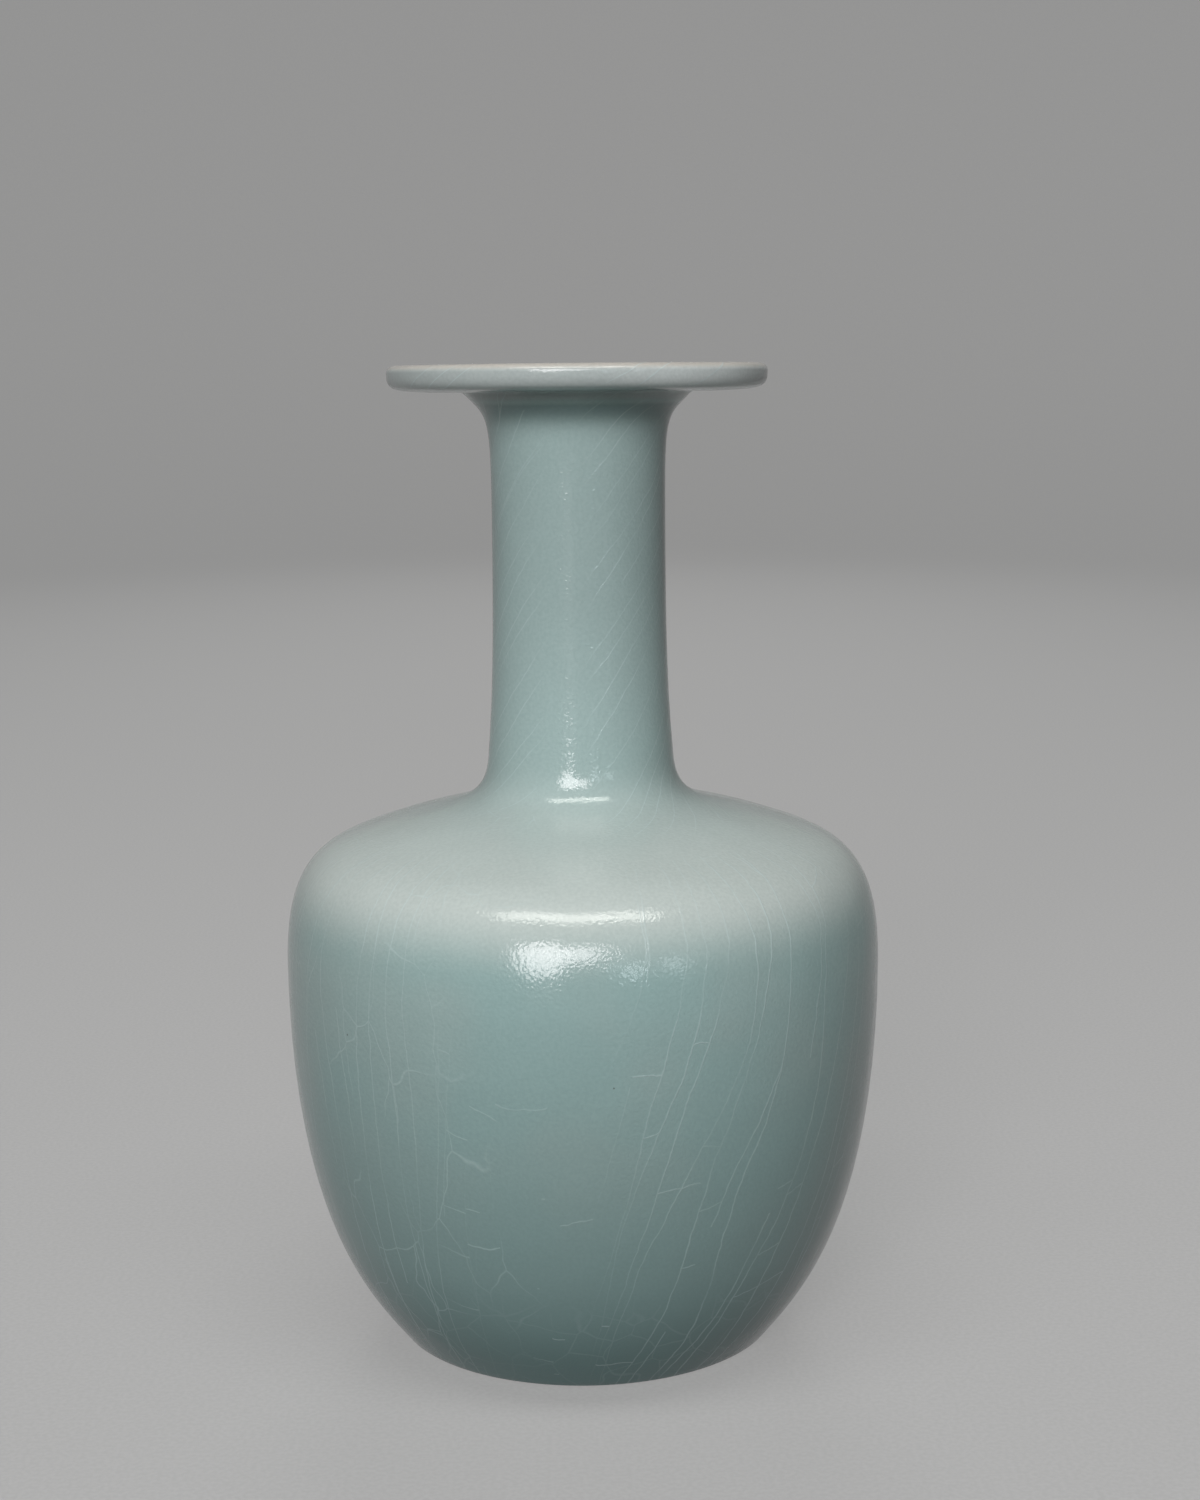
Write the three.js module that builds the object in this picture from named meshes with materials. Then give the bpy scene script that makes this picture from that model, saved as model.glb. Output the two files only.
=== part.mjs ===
import * as THREE from 'three';

// Dish-mouth vase: stoneware thrown in four sections, luted with slip and glazed inside and out.
// Millimetres, +Z up. It stands on z = 0, centred on the Z axis.

// Facets round every turned piece.
const facets = 36;

// Levels of the glazed outside. The first four stack up from the table and the last four stack down from
// the lip, so the neck between them takes what the overall height leaves.
const vaseHeight = 223.4;
const glazeStop = 0.5;
const bellyRise = 87.3;
const shoulderRise = 30.7;
const neckRootRise = 16.2;
const flareRise = 26.3;
const undersideRise = 1;
const dishWallRise = 4.1;
const lipRise = 1.6;

// Radii of the glazed outside at those levels.
const footRadius = 43.9;
const bellyRadius = 68.3;
const shoulderRadius = 48.4;
const neckRootRadius = 21.2;
const waistRadius = 19.6;
const dishRootRadius = 25.1;
const undersideRadius = 33;
const dishRadius = 42.7;

// Slopes of the outside, in degrees from level, or from upright for the neck.
const footFlare = 52;
const shoulderSlope = 19.5;
const neckTaper = 4.4;
const dishRootSlope = 44;
const undersideSlope = 5.4;
const dishSlope = 8;

// Fired wall, from glazed face to glazed face.
const bellyWall = 5.4;
const neckWall = 4.7;
const dishFloor = 3.3;
const lipWidth = 4.4;
const lipInsideDrop = 1;
const dishCorner = 1.6;
const throatRounding = 4.5;
const floorThickness = 6;

// Glaze and slip.
const glazeThickness = 0.8;
const glazeSeat = 0.05;
const slipThickness = 0.5;

// Turned foot: the bare ring that the vase stands on, and the glazed well inside it.
const footInset = 1;
const footRingWidth = 5.6;
const footWellDepth = 3;
const footWellTaper = 0.6;
const wellGlazeStop = 1;

// Seams between the thrown sections, measured from the nearest named level.
const bellySeamAboveWidest = 14;
const neckSeamBelowRoot = 3;
const dishSeamBelowRoot = 0.6;

// Levels above the table.
const bellyHeight = glazeStop + bellyRise;
const shoulderHeight = bellyHeight + shoulderRise;
const neckRootHeight = shoulderHeight + neckRootRise;
const dishWallHeight = vaseHeight - lipRise;
const undersideHeight = dishWallHeight - dishWallRise;
const dishRootHeight = undersideHeight - undersideRise;
const waistHeight = dishRootHeight - flareRise;
const interiorFloorHeight = footWellDepth + floorThickness;

// Directions of travel along the outline, in degrees: 0 points away from the axis and 90 points up.
const OUT = 0;
const UP = 90;
const IN = 180;
const DOWN = 270;

// A station fixes a point of the outline, the direction there, and how far the curve holds that direction
// on its way in and out, as shares of the straight distance to the next station.
function station(radius, height, direction, arrive, leave, steps) {
  const angle = THREE.MathUtils.degToRad(direction);
  const at = new THREE.Vector2(radius, height);
  const heading = new THREE.Vector2(Math.cos(angle), Math.sin(angle));
  return { at, heading, arrive, leave, steps };
}

// One smooth stretch between two stations. The clay lies on the left of the direction of travel.
function bend(from, to) {
  const reach = from.at.distanceTo(to.at);
  const first = from.at.clone().addScaledVector(from.heading, from.leave * reach);
  const second = to.at.clone().addScaledVector(to.heading, -to.arrive * reach);
  const rows = [];
  for (let step = 1; step <= to.steps; step += 1) {
    const t = step / to.steps;
    const s = 1 - t;
    const at = new THREE.Vector2()
      .addScaledVector(from.at, s * s * s)
      .addScaledVector(first, 3 * s * s * t)
      .addScaledVector(second, 3 * s * t * t)
      .addScaledVector(to.at, t * t * t);
    const along = new THREE.Vector2()
      .addScaledVector(first.clone().sub(from.at), s * s)
      .addScaledVector(second.clone().sub(first), 2 * s * t)
      .addScaledVector(to.at.clone().sub(second), t * t)
      .normalize();
    rows.push({ at, left: new THREE.Vector2(-along.y, along.x) });
  }
  return rows;
}

// A whole outline through a list of stations.
function outlineThrough(stations) {
  const start = stations[0];
  const rows = [{ at: start.at, left: new THREE.Vector2(-start.heading.y, start.heading.x) }];
  for (let index = 1; index < stations.length; index += 1) {
    rows.push(...bend(stations[index - 1], stations[index]));
  }
  return rows;
}

// The outline's points, moved into the wall by a depth.
function pointsAtDepth(outline, depth) {
  return outline.map((row) => row.at.clone().addScaledVector(row.left, depth));
}

// The point where a line of points that only rises, or only falls, passes a height.
function pointAtHeight(points, height) {
  for (let index = 1; index < points.length; index += 1) {
    const before = points[index - 1];
    const after = points[index];
    if ((before.y - height) * (after.y - height) <= 0 && before.y !== after.y) {
      const share = (height - before.y) / (after.y - before.y);
      return new THREE.Vector2(before.x + share * (after.x - before.x), height);
    }
  }
  return points[points.length - 1].clone();
}

// The stretch of such a line between two heights, with an exact point at each end. It is turned round
// where the line itself runs the other way.
function between(points, startHeight, endHeight) {
  const low = Math.min(startHeight, endHeight);
  const high = Math.max(startHeight, endHeight);
  const middle = points.filter((point) => point.y > low && point.y < high);
  const risesAlong = points[points.length - 1].y > points[0].y;
  if (risesAlong !== endHeight > startHeight) {
    middle.reverse();
  }
  return [pointAtHeight(points, startHeight), ...middle, pointAtHeight(points, endHeight)];
}

// A solid turned about the Z axis. The profile has its material on the left, and it closes on itself or
// starts and ends on the axis.
function turned(name, profile, material) {
  const geometry = new THREE.LatheGeometry(profile, facets);
  geometry.rotateX(Math.PI / 2);
  const mesh = new THREE.Mesh(geometry, material);
  mesh.name = name;
  return mesh;
}

// A ring whose section is a closed loop of points.
function turnedRing(name, loop, material) {
  return turned(name, [...loop, loop[0].clone()], material);
}

// The glazed outside, from the foot edge up the body and neck and over the dish to the crest of the lip.
function outsideStations() {
  return [
    station(footRadius, glazeStop, footFlare, 0, 0.137, 0),
    station(bellyRadius, bellyHeight, UP, 0.67, 0.68, 7),
    station(shoulderRadius, shoulderHeight, IN - shoulderSlope, 0.315, 0.585, 6),
    station(neckRootRadius, neckRootHeight, UP + neckTaper, 0.386, 0.185, 5),
    station(waistRadius, waistHeight, UP, 0.65, 0.8, 3),
    station(dishRootRadius, dishRootHeight, dishRootSlope, 0.265, 0.43, 5),
    station(undersideRadius, undersideHeight, undersideSlope, 0.5, 0.6, 2),
    station(dishRadius, dishWallHeight, UP, 0.32, 0.37, 5),
    station(dishRadius - lipWidth / 2, vaseHeight, IN, 0.45, 0.4, 3),
  ];
}

// The glazed inside, from the crest of the lip over the dish floor, down the throat and round the body to
// the middle of its floor.
function insideStations() {
  const lipInside = dishRadius - lipWidth;
  const dishEdge = lipInside - dishCorner;
  const slope = THREE.MathUtils.degToRad(dishSlope);
  const dishEdgeHeight = undersideHeight + (dishEdge - undersideRadius) * Math.tan(slope) + dishFloor;
  const throatRadius = waistRadius - neckWall;
  const throatEdge = throatRadius + throatRounding;
  const throatEdgeHeight = dishEdgeHeight - (dishEdge - throatEdge) * Math.tan(slope);
  const shoulderAngle = THREE.MathUtils.degToRad(shoulderSlope);
  const shoulderInside = shoulderRadius - bellyWall * Math.sin(shoulderAngle);
  const shoulderUnder = shoulderHeight - bellyWall * Math.cos(shoulderAngle);
  return [
    station(dishRadius - lipWidth / 2, vaseHeight, IN, 0.4, 0.4, 0),
    station(lipInside, vaseHeight - lipInsideDrop, DOWN, 0.4, 0.4, 2),
    station(dishEdge, dishEdgeHeight, IN + dishSlope, 0.4, 0.3, 2),
    station(throatEdge, throatEdgeHeight, IN + dishSlope, 0.3, 0.4, 1),
    station(throatRadius, throatEdgeHeight - throatRounding, DOWN, 0.4, 0.3, 3),
    station(throatRadius, waistHeight, DOWN, 0.3, 0.65, 1),
    station(neckRootRadius - neckWall, neckRootHeight, DOWN + neckTaper, 0.185, 0.3, 2),
    station(shoulderInside, shoulderUnder, OUT - shoulderSlope, 0.5, 0.3, 4),
    station(bellyRadius - bellyWall, bellyHeight, DOWN, 0.6, 0.61, 4),
    station(0, interiorFloorHeight, IN, 0.53, 0, 5),
  ];
}

const outside = outlineThrough(outsideStations());
const inside = outlineThrough(insideStations());

const glazeOutside = pointsAtDepth(outside, 0);
const glazeOutsideBack = pointsAtDepth(outside, glazeThickness);
const glazeInside = pointsAtDepth(inside, 0);
const glazeInsideBack = pointsAtDepth(inside, glazeThickness);
const clayOutside = pointsAtDepth(outside, glazeThickness + glazeSeat);
const clayInside = pointsAtDepth(inside, glazeThickness + glazeSeat);

// The two glaze coats meet on a level ring on the inner wall of the lip.
const lipInsideHeight = vaseHeight - lipInsideDrop;

// Seam levels.
const bellySeamHeight = bellyHeight + bellySeamAboveWidest;
const neckSeamHeight = neckRootHeight - neckSeamBelowRoot;
const dishSeamHeight = dishRootHeight - dishSeamBelowRoot;

// Fired stoneware under the glaze, the slip in the seams, and the glaze itself.
const clay = new THREE.MeshStandardMaterial({ color: 0xa59a8c, roughness: 0.85, metalness: 0 });
const slip = new THREE.MeshStandardMaterial({ color: 0xb4a999, roughness: 0.8, metalness: 0 });
const glaze = new THREE.MeshStandardMaterial({ color: 0x9db3ae, roughness: 0.3, metalness: 0 });

// The section of clay wall between two seams.
function wallSection(startHeight, endHeight) {
  return [
    ...between(clayOutside, startHeight, endHeight),
    ...between(clayInside, endHeight, startHeight),
  ];
}

// The thrown lower body, with its floor and the foot ring that is turned out of its underside.
function belly() {
  const ringOuter = clayOutside[0].x - footInset;
  const ringInner = ringOuter - footRingWidth;
  const profile = [
    new THREE.Vector2(0, footWellDepth),
    new THREE.Vector2(ringInner - footWellTaper, footWellDepth),
    new THREE.Vector2(ringInner, 0),
    new THREE.Vector2(ringOuter, 0),
    ...between(clayOutside, clayOutside[0].y, bellySeamHeight),
    ...between(clayInside, bellySeamHeight, clayInside[clayInside.length - 1].y),
  ];
  return turned('belly', profile, clay);
}

// The thrown upper body, closed in to the foot of the neck.
function shoulder() {
  const section = wallSection(bellySeamHeight + slipThickness, neckSeamHeight);
  return turnedRing('shoulder', section, clay);
}

// The thrown neck, a plain tube with a slight waist.
function neckTube() {
  const section = wallSection(neckSeamHeight + slipThickness, dishSeamHeight);
  return turnedRing('neck_tube', section, clay);
}

// The thrown dish, with its floor falling to the throat and its wall rising to the lip.
function dishMouth() {
  const start = dishSeamHeight + slipThickness;
  const section = [
    ...between(clayOutside, start, clayOutside[clayOutside.length - 1].y),
    ...between(clayInside, clayInside[0].y, start).slice(1),
  ];
  return turnedRing('dish_mouth', section, clay);
}

// The slip that lutes two sections together, a flat ring as wide as the wall.
function seam(name, height) {
  return turnedRing(name, wallSection(height, height + slipThickness), slip);
}

// The glaze coat of the outside, from the foot edge over the lip to its inner wall.
function outerGlaze() {
  const overLip = between(glazeInside, vaseHeight, lipInsideHeight);
  const underLip = between(glazeInsideBack, lipInsideHeight, glazeInsideBack[0].y);
  const section = [
    ...glazeOutside,
    ...overLip.slice(1),
    ...underLip,
    ...glazeOutsideBack.slice(0, -1).reverse(),
  ];
  return turnedRing('outer_glaze', section, glaze);
}

// The glaze coat of the dish, the throat and the inside of the body.
function innerGlaze() {
  const face = between(glazeInside, lipInsideHeight, interiorFloorHeight);
  const back = between(glazeInsideBack, interiorFloorHeight - glazeThickness, lipInsideHeight);
  const profile = [...back, ...face];
  return turned('inner_glaze', profile, glaze);
}

// The glaze coat of the well inside the foot ring. It stops above the bare ring.
function footWellGlaze() {
  const ringInner = clayOutside[0].x - footInset - footRingWidth;
  const wallLean = footWellTaper / footWellDepth;
  const stopRadius = ringInner - wallLean * wellGlazeStop - glazeSeat;
  const cornerHeight = footWellDepth - glazeSeat;
  const cornerRadius = ringInner - wallLean * cornerHeight - glazeSeat;
  const profile = [
    new THREE.Vector2(0, cornerHeight - glazeThickness),
    new THREE.Vector2(cornerRadius - glazeThickness, cornerHeight - glazeThickness),
    new THREE.Vector2(stopRadius - glazeThickness, wellGlazeStop),
    new THREE.Vector2(stopRadius, wellGlazeStop),
    new THREE.Vector2(cornerRadius, cornerHeight),
    new THREE.Vector2(0, cornerHeight),
  ];
  return turned('foot_well_glaze', profile, glaze);
}

const vase = new THREE.Group();
vase.add(
  belly(),
  seam('belly_shoulder_seam', bellySeamHeight),
  shoulder(),
  seam('shoulder_neck_seam', neckSeamHeight),
  neckTube(),
  seam('neck_dish_seam', dishSeamHeight),
  dishMouth(),
  outerGlaze(),
  innerGlaze(),
  footWellGlaze(),
);

export default vase;
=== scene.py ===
import math

import bpy
from mathutils import Matrix, Vector


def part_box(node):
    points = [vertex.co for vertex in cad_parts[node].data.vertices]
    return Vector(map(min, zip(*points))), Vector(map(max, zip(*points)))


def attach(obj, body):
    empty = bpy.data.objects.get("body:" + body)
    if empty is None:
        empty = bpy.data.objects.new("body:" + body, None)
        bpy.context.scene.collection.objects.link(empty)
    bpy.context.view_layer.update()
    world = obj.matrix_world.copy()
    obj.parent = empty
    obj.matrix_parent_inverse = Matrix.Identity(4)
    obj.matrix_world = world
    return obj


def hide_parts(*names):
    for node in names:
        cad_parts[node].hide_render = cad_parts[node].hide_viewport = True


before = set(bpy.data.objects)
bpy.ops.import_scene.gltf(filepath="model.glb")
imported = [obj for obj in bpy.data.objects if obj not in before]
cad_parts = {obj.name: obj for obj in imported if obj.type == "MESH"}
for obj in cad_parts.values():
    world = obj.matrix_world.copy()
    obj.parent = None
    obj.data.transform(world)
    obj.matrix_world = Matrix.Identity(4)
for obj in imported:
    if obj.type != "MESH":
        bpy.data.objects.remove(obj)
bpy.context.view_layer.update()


# Camera
# It stands just under the lip and looks slightly down, so that the dish is seen edge on. The picture is
# turned by about half a degree, and the vase stands a little left of its middle.
MM = 0.001
PICTURE_HEIGHT_PX = 1500
FOCAL_PX = 2372
SENSOR_MM = 36
CAMERA_DISTANCE = 540 * MM
CAMERA_HEIGHT = 219.4 * MM
CAMERA_PITCH = math.radians(8.812)
CAMERA_YAW = math.radians(-0.466)
CAMERA_ROLL = math.radians(-0.545)
NEAREST_SEEN = 10 * MM

bpy.ops.object.camera_add(location=(0, -CAMERA_DISTANCE, CAMERA_HEIGHT))
camera = bpy.context.object
camera.name = "camera"
aim = Matrix.Rotation(CAMERA_YAW, 4, "Z") @ Matrix.Rotation(math.pi / 2 - CAMERA_PITCH, 4, "X")
camera.rotation_euler = (aim @ Matrix.Rotation(CAMERA_ROLL, 4, "Z")).to_euler()
camera.data.sensor_fit = "AUTO"
camera.data.sensor_width = SENSOR_MM
camera.data.lens = SENSOR_MM * FOCAL_PX / PICTURE_HEIGHT_PX
camera.data.clip_start = NEAREST_SEEN
bpy.context.scene.camera = camera


# Thrown belly
# The lower body, thrown in grey-buff stoneware with its floor. Its top is cut level where the shoulder was
# luted on. The foot ring was turned out of its underside, and is the only clay that stays bare.
CLAY_UNDER_GLAZE_MM = 0.85
TURNING_STEPS = 144
OUTSIDE_FINENESS = 20
INSIDE_FINENESS = 8
MERGE_DISTANCE = 0.001 * MM
RING_CORNER_ANGLE = math.radians(50)
CLAY_GREY = (0.300, 0.262, 0.215, 1)
CLAY_BUFF = (0.420, 0.360, 0.290, 1)
CLAY_FLASHED = (0.290, 0.165, 0.090, 1)
CLAY_IRON = (0.070, 0.050, 0.038, 1)
CLAY_ROUGHNESS = 0.88
CLAY_GLOSS = 0.3
GRAIN_SIZE_MM = 0.7
GRAIN_RELIEF_MM = 0.06
TURNING_RING_STEP_MM = 0.8
TURNING_RING_RELIEF_MM = 0.12
SPECK_SPACING_MM = 3.4
SPECK_EDGE = (0.10, 0.05)
SPECK_STRENGTH = 0.75
CLAY_CONTRAST = (0.35, 0.65)
CLAY_PATCH_SIZE_MM = 9.0
CLAY_PATCH_CONTRAST = (0.25, 0.6, 0.35, 0.9)
# The foot ring is flashed beside the glaze. Each pair is where that starts and where it is full: two radii
# on its outside, two on its inside, and two heights.
FLASHED_OUTSIDE_MM = (41.2, 42.4)
FLASHED_INSIDE_MM = (37.3, 36.4)
FLASHED_UP_TO_MM = (2.0, 1.0)
TO_MM = 1000.0
OUT, UP, IN, DOWN = 0, 90, 180, 270

# Each station is the radius and height in mm, the direction that the outline takes there in degrees, and
# how far it holds that direction before and after, as shares of the way to the next station.
OUTSIDE_STATIONS = [
    (43.9, 0.5, 52, 0.0, 0.137),  # foot edge
    (68.3, 87.8, UP, 0.67, 0.68),  # widest level
    (48.4, 118.5, IN - 19.5, 0.315, 0.585),  # shoulder
    (21.2, 134.7, UP + 4.4, 0.386, 0.185),  # root of the neck
    (19.6, 190.4, UP, 0.65, 0.8),  # waist of the neck
    (25.1, 216.7, 44, 0.265, 0.43),  # root of the dish
    (33.0, 217.5, 3.0, 0.5, 0.8),  # underside of the dish
    (42.7, 221.8, UP, 0.36, 0.37),  # wall of the dish
    (40.5, 223.4, IN, 0.45, 0.4),  # crest of the lip
]
INSIDE_STATIONS = [
    (40.5, 223.4, IN, 0.4, 0.4),  # crest of the lip
    (38.3, 222.4, DOWN, 0.4, 0.4),  # inner wall of the lip
    (36.7, 221.52, IN + 8, 0.4, 0.3),  # outer edge of the dish floor
    (19.4, 219.09, IN + 8, 0.3, 0.4),  # inner edge of the dish floor
    (14.9, 214.59, DOWN, 0.4, 0.3),  # top of the throat
    (14.9, 190.4, DOWN, 0.3, 0.65),  # waist of the neck
    (16.5, 134.7, DOWN + 4.4, 0.185, 0.3),  # root of the neck
    (46.6, 113.41, OUT - 19.5, 0.5, 0.3),  # shoulder
    (62.9, 87.8, DOWN, 0.6, 0.61),  # widest level
    (0.0, 9.0, IN, 0.53, 0.0),  # middle of the floor
]
FOOT_STATIONS = [
    (0.0, 3.0, OUT, 0.0, 0.02),  # middle of the well
    (35.5, 3.0, OUT, 0.02, 0.55),  # edge of the well
    (36.15, 2.4, DOWN + 11, 0.55, 0.4),  # wall of the well, upper end
    (36.5, 0.65, DOWN + 11, 0.4, 0.55),  # wall of the well, lower end
    (37.15, 0.0, OUT, 0.55, 0.1),  # inner edge of the ring
    (41.6, 0.0, OUT, 0.1, 0.55),  # outer edge of the ring
    (42.45, 0.35, OUT + 45, 0.5, 0.2),  # soft corner under the glaze
]


def heading(degrees):
    """The unit vector of a direction in the XZ plane."""
    return Vector((math.cos(math.radians(degrees)), 0, math.sin(math.radians(degrees))))


def drawn_outline(name, stations, fineness):
    """A wire in the XZ plane that follows a curve through the stations."""
    bpy.ops.object.select_all(action="DESELECT")
    bpy.ops.curve.primitive_bezier_curve_add(location=(0, 0, 0))
    wire = bpy.context.object
    wire.name = name
    wire.data.resolution_u = fineness
    points = wire.data.splines[0].bezier_points
    points.add(len(stations) - 2)
    places = [Vector((radius, 0, height)) * MM for radius, height, *_ in stations]
    for index, (_, _, direction, arrive, leave) in enumerate(stations):
        before = (places[index] - places[max(index - 1, 0)]).length
        after = (places[min(index + 1, len(places) - 1)] - places[index]).length
        points[index].handle_left_type = "FREE"
        points[index].handle_right_type = "FREE"
        points[index].co = places[index]
        points[index].handle_left = places[index] - heading(direction) * arrive * before
        points[index].handle_right = places[index] + heading(direction) * leave * after
    bpy.ops.object.convert(target="MESH")
    return bpy.context.object


def joined(first, *others):
    """Joins wires or meshes into the first one."""
    bpy.ops.object.select_all(action="DESELECT")
    for piece in (first, *others):
        piece.select_set(True)
    bpy.context.view_layer.objects.active = first
    bpy.ops.object.join()
    return bpy.context.object


def inset(stations, depth):
    """The same stations, moved into the wall by a depth in mm."""
    moved = []
    for radius, height, direction, arrive, leave in stations:
        inwards = heading(direction + 90) * depth
        moved.append((radius + inwards.x, height + inwards.z, direction, arrive, leave))
    return moved


def turned(wire, steps):
    """Spins a wire once round the Z axis, closes the seam and the poles, and faces it outwards."""
    bpy.ops.object.select_all(action="DESELECT")
    wire.select_set(True)
    bpy.context.view_layer.objects.active = wire
    bpy.ops.object.mode_set(mode="EDIT")
    bpy.ops.mesh.select_all(action="SELECT")
    bpy.ops.mesh.spin(steps=steps, angle=2 * math.pi, center=(0, 0, 0), axis=(0, 0, 1))
    bpy.ops.mesh.select_all(action="SELECT")
    bpy.ops.mesh.remove_doubles(threshold=MERGE_DISTANCE)
    bpy.ops.mesh.normals_make_consistent(inside=False)
    bpy.ops.object.mode_set(mode="OBJECT")
    bpy.ops.object.shade_smooth()
    return wire


def with_modifier(piece, kind, **settings):
    """Adds a modifier to a piece and applies it."""
    bpy.context.view_layer.objects.active = piece
    modifier = piece.modifiers.new(kind.lower(), kind)
    for key, value in settings.items():
        setattr(modifier, key, value)
    bpy.ops.object.modifier_apply(modifier=modifier.name)


class Term:
    """A value in a node tree. Sums and products of terms are written plainly, and each adds a Math node."""

    def __init__(self, tree, socket):
        self.tree = tree
        self.socket = socket

    def maths(self, operation, *others):
        node = placed(self.tree, "ShaderNodeMath", self, *others, operation=operation)
        return Term(self.tree, node.outputs[0])

    def __add__(self, other):
        return self.maths("ADD", other)

    def __sub__(self, other):
        return self.maths("SUBTRACT", other)

    def __mul__(self, other):
        return self.maths("MULTIPLY", other)

    def __truediv__(self, other):
        return self.maths("DIVIDE", other)

    def __lt__(self, other):
        return self.maths("LESS_THAN", other)

    def __gt__(self, other):
        return self.maths("GREATER_THAN", other)

    def ramp(self, start, end, low=0.0, high=1.0, kind="SMOOTHSTEP"):
        """The value carried from the range start to end over to the range low to high, and held there."""
        node = placed(self.tree, "ShaderNodeMapRange", self, start, end, low, high, interpolation_type=kind)
        return Term(self.tree, node.outputs[0])

    def parts(self):
        """The three values of a vector or colour."""
        outputs = placed(self.tree, "ShaderNodeSeparateXYZ", self).outputs
        return [Term(self.tree, output) for output in outputs]


def feed(tree, sockets, values):
    """Feeds sockets in order, with terms or plain values; None leaves one as it is."""
    for socket, value in zip(sockets, values):
        if isinstance(value, Term):
            tree.links.new(value.socket, socket)
        elif value is not None:
            socket.default_value = value


def placed(tree, kind, *values, **settings):
    """Adds a node with its settings, and feeds its inputs."""
    node = tree.nodes.new(kind)
    for key, value in settings.items():
        setattr(node, key, value)
    feed(tree, node.inputs, values)
    return node


def noise(place, size, detail=0.0, dimensions="3D"):
    """Smooth noise whose patches are about the given size: its value, and its three separate values."""
    tree = place.tree
    node = placed(tree, "ShaderNodeTexNoise", place, None, 1 / size, detail, noise_dimensions=dimensions)
    return Term(tree, node.outputs[0]), Term(tree, node.outputs[1]).parts()


def vector_of(*terms):
    """A vector from two or three terms."""
    return Term(terms[0].tree, placed(terms[0].tree, "ShaderNodeCombineXYZ", *terms).outputs[0])


def either(first, second):
    """The larger of two values."""
    return first.maths("MAXIMUM", second)


def from_axis(x, y):
    """The distance from the Z axis."""
    return (x * x + y * y).maths("SQRT")


def group_tree(name, inputs, outputs):
    """A shader node group with named inputs and outputs; gives its tree and the terms of its inputs."""
    tree = bpy.data.node_groups.new(name, "ShaderNodeTree")
    for label in inputs:
        kind = "NodeSocketVector" if label == "Place" else "NodeSocketFloat"
        tree.interface.new_socket(label, in_out="INPUT", socket_type=kind)
    for label in outputs:
        tree.interface.new_socket(label, in_out="OUTPUT", socket_type="NodeSocketFloat")
    given = tree.nodes.new("NodeGroupInput").outputs
    return tree, [Term(tree, given[label]) for label in inputs]


def mixed(tree, share, first, second):
    """A colour between two others."""
    node = placed(tree, "ShaderNodeMix", share, data_type="RGBA")
    feed(tree, node.inputs[6:8], (first, second))
    return Term(tree, node.outputs[2])


def group_placed(tree, group, *values):
    """Places a node group in a material and gives its outputs."""
    node = placed(tree, "ShaderNodeGroup", node_tree=group)
    feed(tree, node.inputs, values)
    return [Term(tree, output) for output in node.outputs]


def dots(place, spacing):
    """The distance to the nearest of many scattered dots, as a share of their spacing."""
    node = placed(place.tree, "ShaderNodeTexVoronoi", place, None, 1 / spacing)
    return Term(place.tree, node.outputs[0])


def fired_grain_group():
    """The skin of fired clay: grain and specks, and the rings that the wheel left. Place is in mm."""
    tree, (place,) = group_tree("fired_grain", ["Place"], ["Grain", "Rings", "Specks"])
    x, y, z = place.parts()
    radius = from_axis(x, y)
    grain, _ = noise(place, GRAIN_SIZE_MM, detail=3.0)
    rings, _ = noise(vector_of(radius, z), TURNING_RING_STEP_MM, detail=2.0, dimensions="2D")
    specks = dots(place, SPECK_SPACING_MM).ramp(*SPECK_EDGE)
    placed(tree, "NodeGroupOutput", grain, rings, specks)
    return tree


fired_grain = fired_grain_group()


def place_in_mm(tree):
    """Where a point of the piece is, in millimetres."""
    coordinates = Term(tree, placed(tree, "ShaderNodeTexCoord").outputs["Object"])
    scaled = placed(tree, "ShaderNodeVectorMath", coordinates, (TO_MM, TO_MM, TO_MM), operation="MULTIPLY")
    return Term(tree, scaled.outputs[0])


def bumped(tree, shader, relief):
    """Leads a relief in mm to a shader's normal."""
    bump = placed(tree, "ShaderNodeBump", 1.0, MM)
    tree.links.new(relief.socket, bump.inputs["Height"])
    tree.links.new(bump.outputs[0], shader.inputs["Normal"])


def fired_clay(name, first, second, edge):
    """Unglazed fired clay between two colours, flashed to a third beside the glaze of the foot."""
    material = bpy.data.materials.new(name)
    material.use_nodes = True
    tree = material.node_tree
    shader = tree.nodes["Principled BSDF"]
    place = place_in_mm(tree)
    grain, rings, specks = group_placed(tree, fired_grain, place)
    x, y, z = place.parts()
    radius = from_axis(x, y)
    patches, _ = noise(place, CLAY_PATCH_SIZE_MM, detail=2.0)
    colour = mixed(tree, (grain * 0.5 + rings * 0.5).ramp(*CLAY_CONTRAST), first, second)
    by_glaze = either(radius.ramp(*FLASHED_OUTSIDE_MM), radius.ramp(*FLASHED_INSIDE_MM))
    by_glaze = by_glaze * z.ramp(*FLASHED_UP_TO_MM)
    colour = mixed(tree, by_glaze * patches.ramp(*CLAY_PATCH_CONTRAST), colour, edge)
    colour = mixed(tree, specks * SPECK_STRENGTH, colour, CLAY_IRON)
    tree.links.new(colour.socket, shader.inputs["Base Color"])
    bumped(tree, shader, grain * GRAIN_RELIEF_MM + rings * TURNING_RING_RELIEF_MM)
    shader.inputs["Roughness"].default_value = CLAY_ROUGHNESS
    shader.inputs["Specular IOR Level"].default_value = CLAY_GLOSS
    return material


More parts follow.
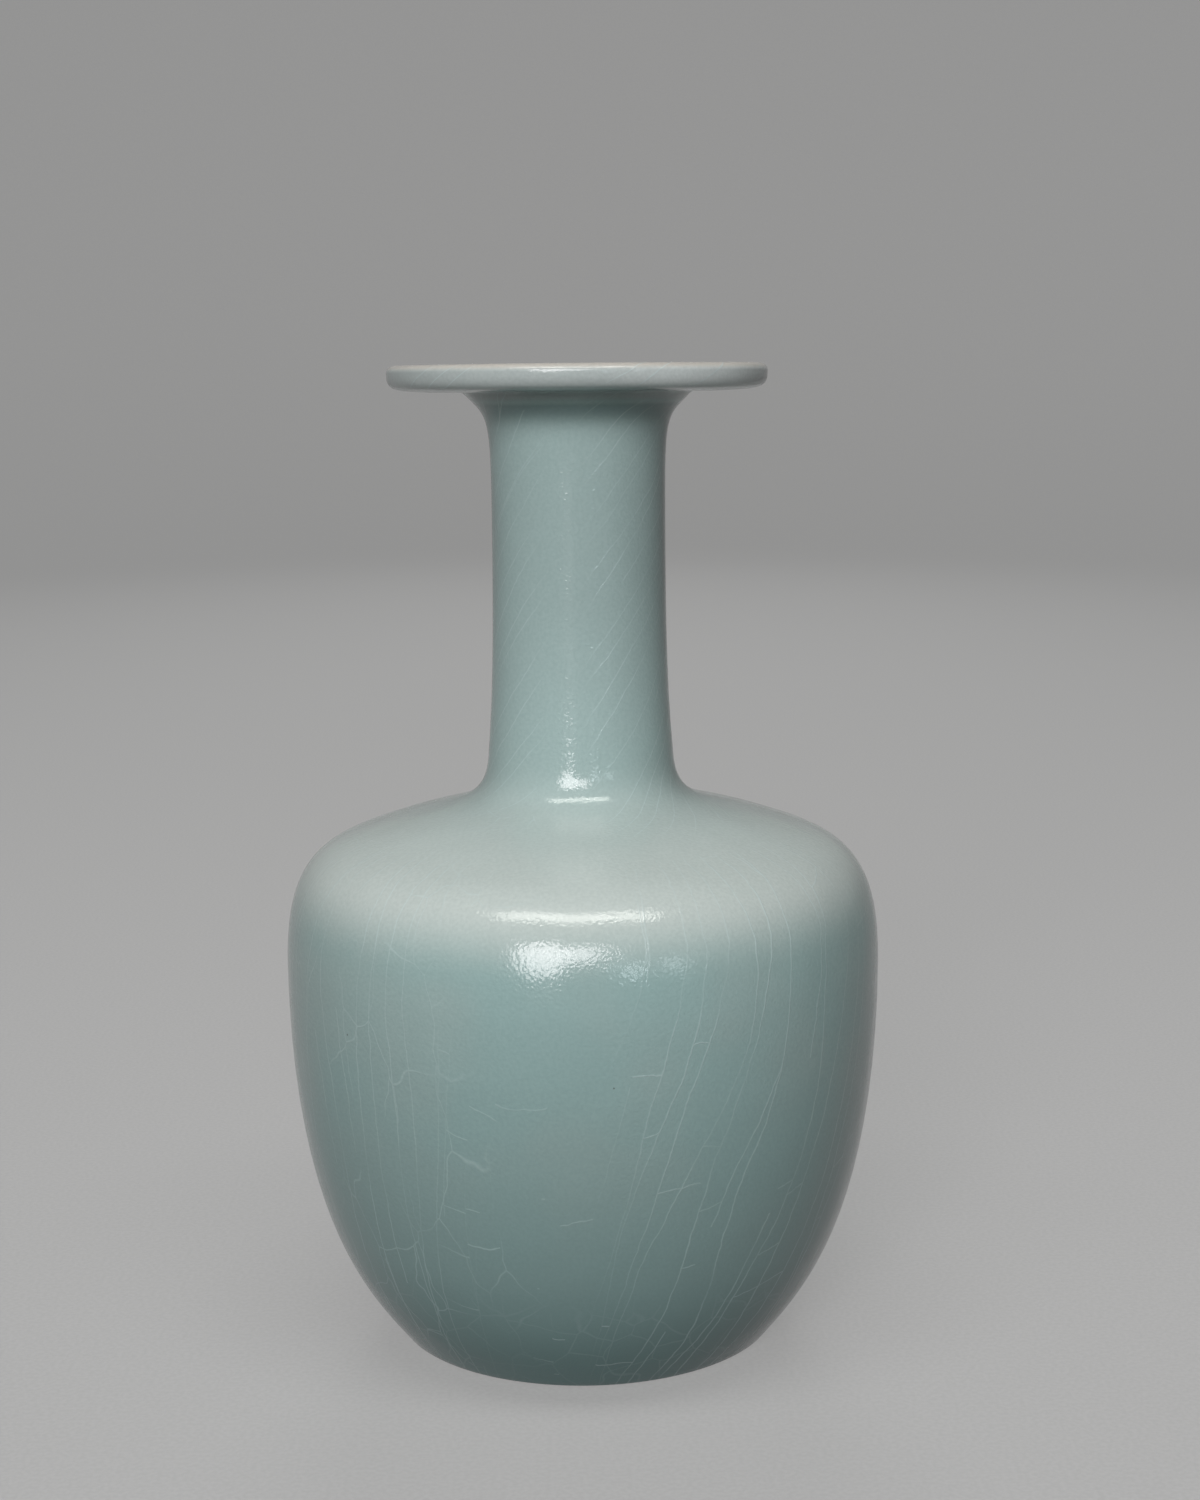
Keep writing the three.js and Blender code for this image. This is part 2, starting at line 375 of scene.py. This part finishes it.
# The outline runs from the foot up past the seam and back down the inside, and is cut level at the seam.
belly_stations = FOOT_STATIONS + inset(OUTSIDE_STATIONS[:3] + INSIDE_STATIONS[7:], CLAY_UNDER_GLAZE_MM)
belly_top = (0, 0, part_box("belly")[1][2])
thrown_belly = turned(drawn_outline("thrown_belly", belly_stations, OUTSIDE_FINENESS), TURNING_STEPS)
bpy.ops.object.mode_set(mode="EDIT")
bpy.ops.mesh.select_all(action="SELECT")
bpy.ops.mesh.bisect(plane_co=belly_top, plane_no=(0, 0, 1), use_fill=True, clear_outer=True)
bpy.ops.object.mode_set(mode="OBJECT")
bpy.ops.object.shade_smooth_by_angle(angle=RING_CORNER_ANGLE)
stoneware = fired_clay("fired_stoneware", CLAY_GREY, CLAY_BUFF, CLAY_FLASHED)
thrown_belly.data.materials.append(stoneware)
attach(thrown_belly, "root")
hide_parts("belly")


# Thrown shoulder, neck and dish
# Three more sections of the same stoneware, thrown apart and stacked on the belly. Glaze covers them all
# over, inside and out, so the solids stay as they are and only take the clay.
for name in ("shoulder", "neck_tube", "dish_mouth"):
    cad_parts[name].material_slots[0].material = stoneware


# Slip seams
# A thin ring of liquid clay luted each section to the next. It fired a little paler and smoother. Glaze
# hides all three, so their solids stay as they are and only take the slip.
SLIP_PALE = (0.470, 0.415, 0.345, 1)
SLIP_DULL = (0.410, 0.355, 0.300, 1)
luting_slip = fired_clay("luting_slip", SLIP_DULL, SLIP_PALE, CLAY_FLASHED)
for name in ("belly_shoulder_seam", "shoulder_neck_seam", "neck_dish_seam"):
    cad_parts[name].material_slots[0].material = luting_slip


# Glaze coat, its shape
# One continuous skin of fired glaze, 0.8 mm thick. It runs from just above the foot up the outside, over
# the lip, down the throat and round the hollow body. It was dipped and poured on, and ends in a soft roll.
GLAZE_THICKNESS = 0.8 * MM
GLAZE_EDGE_ROLL = 0.28 * MM
GLAZE_EDGE_SEGMENTS = 3
GLAZE_EDGE_ANGLE = math.radians(60)
HAND_WOBBLE = 0.2 * MM
HAND_WOBBLE_SPAN = 60 * MM


def note_climb(wire):
    """Marks each point of a wire with its way along the outline, for the crackle to follow."""
    places = [point.co.copy() for point in wire.data.vertices]
    climb = [0.0]
    for before, after in zip(places, places[1:]):
        climb.append(climb[-1] + (after - before).length)
    wire.data.attributes.new("climb", "FLOAT", "POINT").data.foreach_set("value", climb)


outside_wire = drawn_outline("glaze_coat", OUTSIDE_STATIONS, OUTSIDE_FINENESS)
inside_wire = drawn_outline("inside_wire", INSIDE_STATIONS, INSIDE_FINENESS)
coat_wire = joined(outside_wire, inside_wire)
note_climb(coat_wire)
glaze_coat = turned(coat_wire, TURNING_STEPS)

wobble = bpy.data.textures.new("hand_wobble", "CLOUDS")
wobble.noise_scale = HAND_WOBBLE_SPAN
with_modifier(
    glaze_coat, "DISPLACE", texture=wobble, texture_coords="LOCAL", strength=HAND_WOBBLE, mid_level=0.0
)
with_modifier(glaze_coat, "SOLIDIFY", thickness=GLAZE_THICKNESS, offset=-1, use_even_offset=True)
with_modifier(
    glaze_coat, "BEVEL", width=GLAZE_EDGE_ROLL, segments=GLAZE_EDGE_SEGMENTS,
    limit_method="ANGLE", angle_limit=GLAZE_EDGE_ANGLE
)


# Glaze coat, its crackle
# The glaze shrank more than the clay and split into fine crackle lines: long ones that run down the wall
# and branch, and short ones across, which end at the long ones. A second firing left them a little raised.
CRACK_WIDTH_MM = 0.28
WANDER_SPAN_MM = 50.0
WANDER_IN_PAIRS = 0.7
KINK_SIZE_MM = 7.0
KINK_ACROSS_MM = 1.6
KINK_ALONG_MM = 3.0
DRIFT_SPAN_MM = 66.0
DRIFT_IN_PAIRS = 0.36
DRIFT_CONTRAST = (0.15, 0.85)
PRESENCE_SPAN_MM = 60.0
NOWHERE_NEAR = 10.0
# How far short lines slope, bend and shift by chance, and how many keep to one half of a pair.
CROSS_SLOPE = 0.45
CROSS_BEND_PER_MM = 0.07
CROSS_BEND_BIAS = 0.15
CROSS_SHIFT = 0.62
CROSS_HALVED = 0.7
# These tell one line from the next in the noise that shapes them.
LINE_STRIDE = 3.71
SECOND_LINE_STRIDE = 19.0
PRESENCE_STRIDE = 5.3
ROW_STRIDE = 7.0


def chances(place, dimensions):
    """Three random values that are fixed for each whole-number place."""
    node = placed(place.tree, "ShaderNodeTexWhiteNoise", place, noise_dimensions=dimensions)
    return Term(place.tree, node.outputs[1]).parts()


def crackle_group():
    """Crackle lines on a turned wall. Place is in mm, and Climb is the way along the outline in mm. Pairs
    is how many pairs of long lines go round, Lean is the part of a turn by which they have leant over, and
    Sparse is how readily a second line of a pair is missing. Cross Step is the height in mm of the space
    that each short line has, and Cross Share is how many of these spaces hold one."""
    inputs = ["Place", "Climb", "Pairs", "Lean", "Sparse", "Cross Step", "Cross Share"]
    tree, given = group_tree("crackle", inputs, ["Long", "Cross"])
    place, climb, pairs, lean, sparse, cross_step, cross_share = given
    x, y, _ = place.parts()
    radius = from_axis(x, y)
    turn = x.maths("ARCTAN2", y * -1.0) / (2 * math.pi)
    pair_mm = radius * (2 * math.pi) / pairs

    wander, _ = noise(place, WANDER_SPAN_MM)
    _, kinks = noise(place, KINK_SIZE_MM, detail=3.0)
    phase = (turn - lean) * pairs + (wander - 0.5) * WANDER_IN_PAIRS
    phase = phase + (kinks[0] - 0.5) * KINK_ACROSS_MM / pair_mm
    climb = climb + (kinks[1] - 0.5) * KINK_ALONG_MM

    def long_line(index, share):
        """Where a long line runs, in pairs. Share is 0 for the first one of a pair, 0.5 for the second."""
        column = index.maths("FLOORED_MODULO", pairs) * LINE_STRIDE + SECOND_LINE_STRIDE * share
        drift, _ = noise(vector_of(column, climb / DRIFT_SPAN_MM), 1.0, dimensions="2D")
        return index + share + drift.ramp(*DRIFT_CONTRAST, -DRIFT_IN_PAIRS, DRIFT_IN_PAIRS, "LINEAR")

    cell = phase.maths("FLOOR")
    gap = cell - (phase < long_line(cell, 0.0)) + (phase > long_line(cell + 1.0, 0.0))
    left = long_line(gap, 0.0)
    right = long_line(gap + 1.0, 0.0)
    middle = long_line(gap, 0.5)
    column = gap.maths("FLOORED_MODULO", pairs)
    presence, _ = noise(vector_of(column * PRESENCE_STRIDE, climb / PRESENCE_SPAN_MM), 1.0, dimensions="2D")
    absent = either(presence < sparse, either(middle < left, middle > right))
    to_middle = (phase - middle).maths("ABSOLUTE") + absent * NOWHERE_NEAR
    closest = (phase - left).maths("MINIMUM", right - phase).maths("MINIMUM", to_middle) * pair_mm
    long = closest.ramp(0.0, CRACK_WIDTH_MM, 1.0, 0.0)

    # A short line slopes and bends by chance within its space, and lies in one half of a pair or in both.
    row = climb / cross_step + chances(column, "1D")[0] * ROW_STRIDE
    chance = chances(vector_of(column, row.maths("FLOOR")), "2D")
    height = (row.maths("FRACT") - 0.5) * cross_step
    across = (phase - (left + right) * 0.5) * pair_mm
    line = across * (x / radius * CROSS_SLOPE + (chance[1] - 0.5) * CROSS_SLOPE)
    line = line + across * across * (chance[2] - CROSS_BEND_BIAS) * CROSS_BEND_PER_MM
    line = line + (chance[0] - 0.5) * cross_step * CROSS_SHIFT
    off_line = (height - line).maths("ABSOLUTE")
    other_half = ((phase < middle) - (chance[1] > 0.5)).maths("ABSOLUTE") * (chance[0] < CROSS_HALVED)
    present = (chance[2] < cross_share) * (other_half < 0.5)
    cross = off_line.ramp(0.0, CRACK_WIDTH_MM, 1.0, 0.0) * present

    placed(tree, "NodeGroupOutput", long, cross)
    return tree


crackle = crackle_group()


# Glaze coat, its colour and finish
# A blue-green celadon, pooled into faint clouds of teal and pinkish grey. It is milky on the shoulder, and
# part of that pale colour is a painted sheen of the light from above. It is deep above the foot and thin
# and cream on the lip. Painted shade darkens the cove under the dish, and painted light brightens the
# right of the dish wall. The surface is satin, with a fine orange-peel skin.
TEAL = (0.290, 0.432, 0.418, 1)
PINKISH_GREY = (0.318, 0.435, 0.418, 1)
LOW_TEAL = (0.180, 0.282, 0.273, 1)
DEEP = (0.098, 0.175, 0.170, 1)
NECK_TEAL = (0.372, 0.505, 0.490, 1)
# Part of this pale colour is a painted sheen of the light from above on the shoulder.
MILKY_AND_SHEEN = (0.520, 0.590, 0.560, 1)
THIN_GREY = (0.440, 0.500, 0.488, 1)
# Painted light: the colour that the right of the dish wall is brightened to.
PAINTED_LIGHT_GREY = (0.590, 0.650, 0.637, 1)
CREAM = (0.520, 0.500, 0.450, 1)
CRACK_LIGHT = (0.560, 0.700, 0.700, 1)
PINHOLE_BROWN = (0.050, 0.045, 0.035, 1)
GLAZE_ROUGHNESS = 0.12
GLAZE_GLOSS = 0.38

CLOUD_SIZE_MM = 34.0
PEEL_SIZE_MM = 0.75
PEEL_RELIEF_MM = 0.06
SWELL_SIZE_MM = 11.0
SWELL_RELIEF_MM = 0.2
CRACK_RELIEF_MM = 0.032
PINHOLE_SPACING_MM = 17.0

LEFT_CRACK_WIDTH_MM = 0.2
BODY_PAIRS = 40.0
NECK_PAIRS = 12.0
BODY_LEAN_PER_MM = 0.0005
BODY_LEAN_GROWS = 0.0000025
NECK_LEAN_PER_MM = 0.0066
BODY_CROSS_STEP_MM = 16.0
NECK_CROSS_STEP_MM = 24.0
FOOT_MESH_MM = 10.5
FOOT_MESH_FLATNESS = 1.0
LEFT_MESH_MM = 12.5
LEFT_MESH_FLATNESS = 0.45
MESH_WARP_MM = 7.0
MESH_WARP_SPAN_MM = 14.0
NET_BREAK_SPAN_MM = 24.0
FADING_SPAN_MM = 22.0

# Single places on the vase: heights in mm, and two radii in mm.
SHOULDER_EDGE_MM = 104.0
NECK_FROM_MM = 110.0
NECK_WITHIN_RADIUS_MM = 44.0
SHORT_LINES_UP_TO_MM = 125.0
SHOULDER_MIDDLE_RADIUS_MM = 43.0
WHOLE_PATCH_UP_TO_MM = 112.0

# Changes with height: the two heights in mm, and then the value at each where that isn't 0 and 1.
BODY_DULLS = (92.0, 25.0)
FOOT_DARKENS = (32.0, 3.0)
# The shoulder is paler here, partly milky glaze and partly a painted sheen of the light from above.
SHOULDER_PALES_AND_SHEEN = (97.0, 112.0)
NECK_FOOT_PALES_AND_SHEEN = (138.0, 114.0, 0.2, 1.0)
NECK_PALES = (118.0, 148.0, 0.0, 0.85)
# Painted shade in the cove under the dish, set by this pair and the next.
COVE_PAINTED_SHADE = (209.0, 213.6, 0.0, 0.5)
COVE_SHADE_ENDS = (215.4, 214.3)
DISH_THINS = (215.2, 216.4)
DISH_WALL_STARTS = (217.0, 219.0)
LIP_CREAMS = (221.9, 223.1)
CRACKS_PALE = (96.0, 106.0, 0.27, 0.42)
DISH_CRACKS_PALE = (217.0, 219.0, 0.0, 0.6)
SHORT_LINES_MULTIPLY = (100.0, 40.0, 0.22, 0.55)
FOOT_NET_STARTS = (30.0, 16.0, 0.0, 0.25)
UNDER_SHOULDER = (104.0, 100.0)
OVER_SHOULDER = (130.0, 136.0)
WHOLE_PATCH_STARTS = (84.0, 92.0)

# Changes with side in the same way. Side is -1 at the vase's left, 0 at its front and back, 1 at its right.
LEAN_STARTS = (-0.8, 0.2)
LEAN_EASES = (0.3, 0.9, 1.0, 0.75)
RIGHT_LINES_START = (-0.05, 0.35)
FAR_LEFT_LINES_START = (-0.3, -0.65, 0.0, 0.85)
SECOND_LINES_MISSING = (-0.3, 0.3, 0.4, 0.3)
SHORT_LINES_START = (-0.6, -0.3)
SHORT_LINES_THIN_OUT = (-0.2, 0.5, 1.0, 0.7)
LEFT_NET_STARTS = (0.0, -0.4)
WHOLE_PATCH_LEFT_EDGE = (-0.5, -0.38)
WHOLE_PATCH_RIGHT_EDGE = (0.16, 0.06)
# Painted light on the right of the dish wall.
DISH_WALL_PAINTED_LIGHT = (0.0, 0.6, 0.0, 0.8)

# Changes with the distance in mm from the middle of the shoulder, with noise, and with a pinhole's spacing.
SHOULDER_LINES_START = (2.0, 11.0)
CLOUD_CONTRAST = (0.34, 0.68)
PEEL_DARKENS = (0.3, 0.7, 0.0, 0.1)
NET_BREAKS = (0.42, 0.56, 0.08, 0.7)
CRACKS_FADE = (0.3, 0.55, 0.35, 1.0)
PINHOLE_ENDS = (0.008, 0.016, 0.6, 0.0)


def crack_net(place, size, flatness, width):
    """A net of curved cracks. Size is that of its meshes and width that of its lines, both in mm; the
    smaller the flatness, the taller the meshes."""
    _, warp = noise(place, MESH_WARP_SPAN_MM, detail=2.0)
    x, y, z = place.parts()
    bent = [start + shift * MESH_WARP_MM for start, shift in zip((x, y, z * flatness), warp)]
    edge = placed(
        place.tree, "ShaderNodeTexVoronoi", vector_of(*bent), None, 1 / size, feature="DISTANCE_TO_EDGE"
    )
    return Term(place.tree, edge.outputs[0]).ramp(0.0, width / size, 1.0, 0.0)


def glaze_cracks(place, climb):
    """Where the glaze is cracked."""
    x, y, z = place.parts()
    radius = from_axis(x, y)
    side = x / radius

    on_neck = (z > NECK_FROM_MM) * (radius < NECK_WITHIN_RADIUS_MM)
    below = (z * -1.0 + SHOULDER_EDGE_MM).maths("MAXIMUM", 0.0)
    leaning = side.ramp(*LEAN_STARTS) * side.ramp(*LEAN_EASES)
    body_lean = (below * BODY_LEAN_PER_MM + below * below * BODY_LEAN_GROWS) * leaning * -1.0
    lean = body_lean + climb * on_neck * NECK_LEAN_PER_MM
    pairs = on_neck * (NECK_PAIRS - BODY_PAIRS) + BODY_PAIRS
    cross_step = on_neck * (NECK_CROSS_STEP_MM - BODY_CROSS_STEP_MM) + BODY_CROSS_STEP_MM
    cross_share = z.ramp(*SHORT_LINES_MULTIPLY) * side.ramp(*SHORT_LINES_THIN_OUT)
    sparse = side.ramp(*SECOND_LINES_MISSING)
    long, cross = group_placed(
        place.tree, crackle, place, climb, pairs, lean, sparse, cross_step, cross_share
    )

    # Long lines show on the right and at the far left, and short ones from there to the right. The left
    # has a net of tall meshes too, and the neck has long lines alone.
    long = long * either(side.ramp(*RIGHT_LINES_START), side.ramp(*FAR_LEFT_LINES_START))
    broken, _ = noise(place, NET_BREAK_SPAN_MM, detail=1.0)
    left_net = crack_net(place, LEFT_MESH_MM, LEFT_MESH_FLATNESS, LEFT_CRACK_WIDTH_MM)
    left_net = left_net * side.ramp(*LEFT_NET_STARTS) * broken.ramp(*NET_BREAKS)
    short = either(cross * side.ramp(*SHORT_LINES_START), left_net) * (z < SHORT_LINES_UP_TO_MM)

    # The middle of the shoulder has no lines. Just above the foot there is a fine net.
    off_middle = (radius - SHOULDER_MIDDLE_RADIUS_MM).maths("ABSOLUTE").ramp(*SHOULDER_LINES_START)
    off_middle = either(off_middle, either(z.ramp(*UNDER_SHOULDER), z.ramp(*OVER_SHOULDER)))
    foot_net = crack_net(place, FOOT_MESH_MM, FOOT_MESH_FLATNESS, CRACK_WIDTH_MM)
    crack = either(either(long, short) * off_middle, foot_net * z.ramp(*FOOT_NET_STARTS))

    # One patch under the shoulder, left of the middle, is whole. Elsewhere the lines fade here and there.
    whole = side.ramp(*WHOLE_PATCH_LEFT_EDGE) * side.ramp(*WHOLE_PATCH_RIGHT_EDGE)
    whole = whole * z.ramp(*WHOLE_PATCH_STARTS) * (z < WHOLE_PATCH_UP_TO_MM)
    fading, _ = noise(place, FADING_SPAN_MM, detail=1.0)
    return crack * (whole * -1.0 + 1.0) * fading.ramp(*CRACKS_FADE)


def glaze_colour(place, crack, peel):
    """The colour of the glaze, from its clouds up to its cracks and pinholes."""
    tree = place.tree
    x, y, z = place.parts()
    side = x / from_axis(x, y)
    clouds, _ = noise(place, CLOUD_SIZE_MM, detail=2.0)
    colour = mixed(tree, clouds.ramp(*CLOUD_CONTRAST), TEAL, PINKISH_GREY)
    colour = mixed(tree, z.ramp(*BODY_DULLS, kind="LINEAR"), colour, LOW_TEAL)
    colour = mixed(tree, z.ramp(*FOOT_DARKENS), colour, DEEP)
    # Milky glaze on the shoulder, partly a painted sheen of the light from above.
    colour = mixed(tree, z.ramp(*SHOULDER_PALES_AND_SHEEN) * z.ramp(*NECK_FOOT_PALES_AND_SHEEN), colour, MILKY_AND_SHEEN)
    colour = mixed(tree, z.ramp(*NECK_PALES), colour, NECK_TEAL)
    # Painted shade: a dark ring in the cove under the dish, where the dish shades the neck.
    colour = mixed(tree, z.ramp(*COVE_SHADE_ENDS) * z.ramp(*COVE_PAINTED_SHADE), colour, DEEP)
    colour = mixed(tree, z.ramp(*DISH_THINS), colour, THIN_GREY)
    # Painted light: the dish wall is made paler towards the right, standing in for light that falls there.
    colour = mixed(tree, z.ramp(*DISH_WALL_STARTS) * side.ramp(*DISH_WALL_PAINTED_LIGHT), colour, PAINTED_LIGHT_GREY)
    colour = mixed(tree, z.ramp(*LIP_CREAMS), colour, CREAM)
    colour = mixed(tree, peel.ramp(*PEEL_DARKENS, kind="LINEAR"), colour, DEEP)
    crack_share = either(z.ramp(*CRACKS_PALE), z.ramp(*DISH_CRACKS_PALE))
    colour = mixed(tree, crack * crack_share, colour, CRACK_LIGHT)
    pinhole = dots(place, PINHOLE_SPACING_MM).ramp(*PINHOLE_ENDS)
    return mixed(tree, pinhole, colour, PINHOLE_BROWN)


def celadon():
    """The fired glaze, for the coat and for the recess under the foot."""
    material = bpy.data.materials.new("celadon_glaze")
    material.use_nodes = True
    tree = material.node_tree
    shader = tree.nodes["Principled BSDF"]
    place = place_in_mm(tree)
    climb = Term(tree, placed(tree, "ShaderNodeAttribute", attribute_name="climb").outputs["Fac"]) * TO_MM
    crack = glaze_cracks(place, climb)
    peel, _ = noise(place, PEEL_SIZE_MM, detail=1.0)
    swell, _ = noise(place, SWELL_SIZE_MM)
    tree.links.new(glaze_colour(place, crack, peel).socket, shader.inputs["Base Color"])
    bumped(tree, shader, peel * PEEL_RELIEF_MM + swell * SWELL_RELIEF_MM + crack * CRACK_RELIEF_MM)
    shader.inputs["Roughness"].default_value = GLAZE_ROUGHNESS
    shader.inputs["Specular IOR Level"].default_value = GLAZE_GLOSS
    return material


glaze = celadon()
glaze_coat.data.materials.append(glaze)
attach(glaze_coat, "root")
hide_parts("outer_glaze", "inner_glaze")


# Glaze in the foot well
# The recess inside the foot ring was glazed too. The glaze was wiped back from the bare ring, and ends
# there in a thick soft edge.
WELL_GLAZE_STATIONS = [
    (0.0, 2.15, OUT, 0.0, 0.02),  # middle, seen side
    (34.3, 2.15, OUT, 0.02, 0.5),  # edge of the flat, seen side
    (35.2, 1.5, DOWN + 11, 0.5, 0.4),  # wall of the well, seen side
    (35.75, 0.95, OUT, 0.5, 0.4),  # soft edge
    (36.1, 1.5, UP + 11, 0.4, 0.4),  # wall of the well, clay side
    (35.95, 2.4, UP + 11, 0.4, 0.5),  # top of that wall
    (35.4, 2.93, IN, 0.5, 0.02),  # edge of the flat, clay side
    (0.0, 2.93, IN, 0.02, 0.0),  # middle, clay side
]
well_wire = drawn_outline("foot_well_skin", WELL_GLAZE_STATIONS, INSIDE_FINENESS)
note_climb(well_wire)
foot_well_skin = turned(well_wire, TURNING_STEPS)
foot_well_skin.data.materials.append(glaze)
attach(foot_well_skin, "root")
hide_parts("foot_well_glaze")


# Floor and backdrop
# A plain pale bowl of paper, level under the vase and curving up all round it. It isn't part of the vase.
# It is pale where it is seen, directly or in the glaze. It throws next to no light up at the vase, because
# it is dark to all other rays.
STAGE_STATIONS = [
    (0.0, 0.0, OUT, 0.0, 0.1),  # middle of the floor
    (2400.0, 0.0, OUT, 0.1, 0.55),  # edge of the floor
    (4000.0, 1600.0, UP, 0.55, 0.1),  # foot of the wall
    (4000.0, 4200.0, UP, 0.1, 0.0),  # top of the wall
]
STAGE_FINENESS = 8
STAGE_STEPS = 64
PAPER_SHADE = (0.66, 0.66, 0.655, 1)
PAPER_PALE = (0.70, 0.70, 0.695, 1)
PAPER_UNSEEN = (0.06, 0.06, 0.06, 1)
PAPER_GRAIN_SIZE = 1.1 * MM
PAPER_CONTRAST = (0.3, 0.7)
PAPER_GLOW = 0.57
PAPER_GLOW_SHARE = 0.7

stage = turned(drawn_outline("backdrop", STAGE_STATIONS, STAGE_FINENESS), STAGE_STEPS)
paper = bpy.data.materials.new("pale_paper")
paper.use_nodes = True
tree = paper.node_tree
tree.nodes.remove(tree.nodes["Principled BSDF"])
rays = placed(tree, "ShaderNodeLightPath").outputs
seen = either(Term(tree, rays["Is Camera Ray"]), Term(tree, rays["Is Glossy Ray"]))
seen = either(seen, Term(tree, rays["Is Transmission Ray"]))
coordinates = Term(tree, placed(tree, "ShaderNodeTexCoord").outputs["Object"])
grain, _ = noise(coordinates, PAPER_GRAIN_SIZE, detail=2.0)
tone = mixed(tree, grain.ramp(*PAPER_CONTRAST), PAPER_SHADE, PAPER_PALE)
matt = placed(tree, "ShaderNodeBsdfDiffuse", tone).outputs[0]
glow = placed(tree, "ShaderNodeEmission", tone, PAPER_GLOW).outputs[0]
shown = placed(tree, "ShaderNodeMixShader", PAPER_GLOW_SHARE, Term(tree, matt), Term(tree, glow)).outputs[0]
dull = placed(tree, "ShaderNodeBsdfDiffuse", PAPER_UNSEEN).outputs[0]
surface = placed(tree, "ShaderNodeMixShader", seen, Term(tree, dull), Term(tree, shown)).outputs[0]
tree.links.new(surface, tree.nodes["Material Output"].inputs["Surface"])
stage.data.materials.append(paper)


# Lamps
# A tall oval softbox in front, a little to the left and above, with another beside it. Two small ones on
# the right give faint spots, and three in a row overhead give the shoulder its bright arc. One more overhead
# fills in, one behind lights the back, and two weak ones low down give the neck its streaks. The room is dim.
LAMP_AIM = Vector((0, 0, 110 * MM))
KEY_TINT = (1.0, 0.965, 0.975)
COOL_TINT = (0.85, 0.95, 1.0)
ARC_TINT = (1.0, 0.99, 0.93)
PLAIN_TINT = (1.0, 1.0, 1.0)
LAMP_DISTANCE = 3.0
OVERHEAD_DISTANCE = 1.1
LOW_DISTANCE = 1.5
KEY_SPREAD = 90
BACK_SPREAD = 60
FULL_SPREAD = 180
ROOM_GREY = (0.75, 0.75, 0.75, 1)
ROOM_STRENGTH = 0.05


def softbox(
    name, azimuth, elevation, distance, width, height, power, tint=PLAIN_TINT, spread=FULL_SPREAD
):
    """An oval area lamp that looks at the vase. Angles are in degrees, sizes in metres and power in watts.
    Azimuth is 0 on the camera's side and grows to the right. A narrow spread keeps light off the floor."""
    flat = math.cos(math.radians(elevation)) * distance
    rise = math.sin(math.radians(elevation)) * distance
    away = Vector((math.sin(math.radians(azimuth)) * flat, -math.cos(math.radians(azimuth)) * flat, rise))
    bpy.ops.object.light_add(type="AREA", location=LAMP_AIM + away)
    lamp = bpy.context.object
    lamp.name = name
    lamp.rotation_euler = away.to_track_quat("Z", "Y").to_euler()
    lamp.data.shape = "ELLIPSE"
    lamp.data.size = width
    lamp.data.size_y = height
    lamp.data.energy = power
    lamp.data.color = tint
    lamp.data.spread = math.radians(spread)
    lamp.visible_camera = False
    return lamp


softbox(
    "front_softbox", azimuth=-15.5, elevation=17.5, distance=LAMP_DISTANCE,
    width=1.08, height=1.5, power=12.9, tint=KEY_TINT, spread=KEY_SPREAD
)
softbox(
    "side_of_front_softbox", azimuth=1.3, elevation=20.2, distance=LAMP_DISTANCE,
    width=0.84, height=0.92, power=4.5, tint=KEY_TINT, spread=KEY_SPREAD
)
for azimuth, elevation, power in ((16.7, 7.6, 3.0), (33.9, 9.0, 1.9)):
    spot = softbox(
        "small_softbox", azimuth=azimuth, elevation=elevation, distance=LAMP_DISTANCE,
        width=0.36, height=0.4, power=power, tint=COOL_TINT
    )
    spot.visible_diffuse = False
softbox(
    "low_softbox", azimuth=-12, elevation=-1, distance=LOW_DISTANCE, width=0.3, height=0.15, power=0.07
)
softbox(
    "low_side_softbox", azimuth=35, elevation=-1, distance=LOW_DISTANCE, width=0.2, height=0.1, power=0.03
)
for azimuth in (-37, -4, 29):
    arc = softbox(
        "arc_softbox", azimuth=azimuth, elevation=61, distance=OVERHEAD_DISTANCE,
        width=0.37, height=0.3, power=2.3, tint=ARC_TINT
    )
    arc.visible_diffuse = False
overhead = softbox(
    "overhead_softbox", azimuth=0, elevation=74, distance=OVERHEAD_DISTANCE, width=1.0, height=0.3, power=5.8
)
overhead.visible_glossy = False
back = softbox(
    "back_softbox", azimuth=180, elevation=15, distance=LAMP_DISTANCE,
    width=1.3, height=1.0, power=5.0, spread=BACK_SPREAD
)
back.visible_glossy = False

bpy.context.scene.world = bpy.data.worlds.new("studio")
bpy.context.scene.world.use_nodes = True
room = bpy.context.scene.world.node_tree.nodes["Background"]
room.inputs["Color"].default_value = ROOM_GREY
room.inputs["Strength"].default_value = ROOM_STRENGTH
bpy.context.scene.view_settings.view_transform = "Standard"
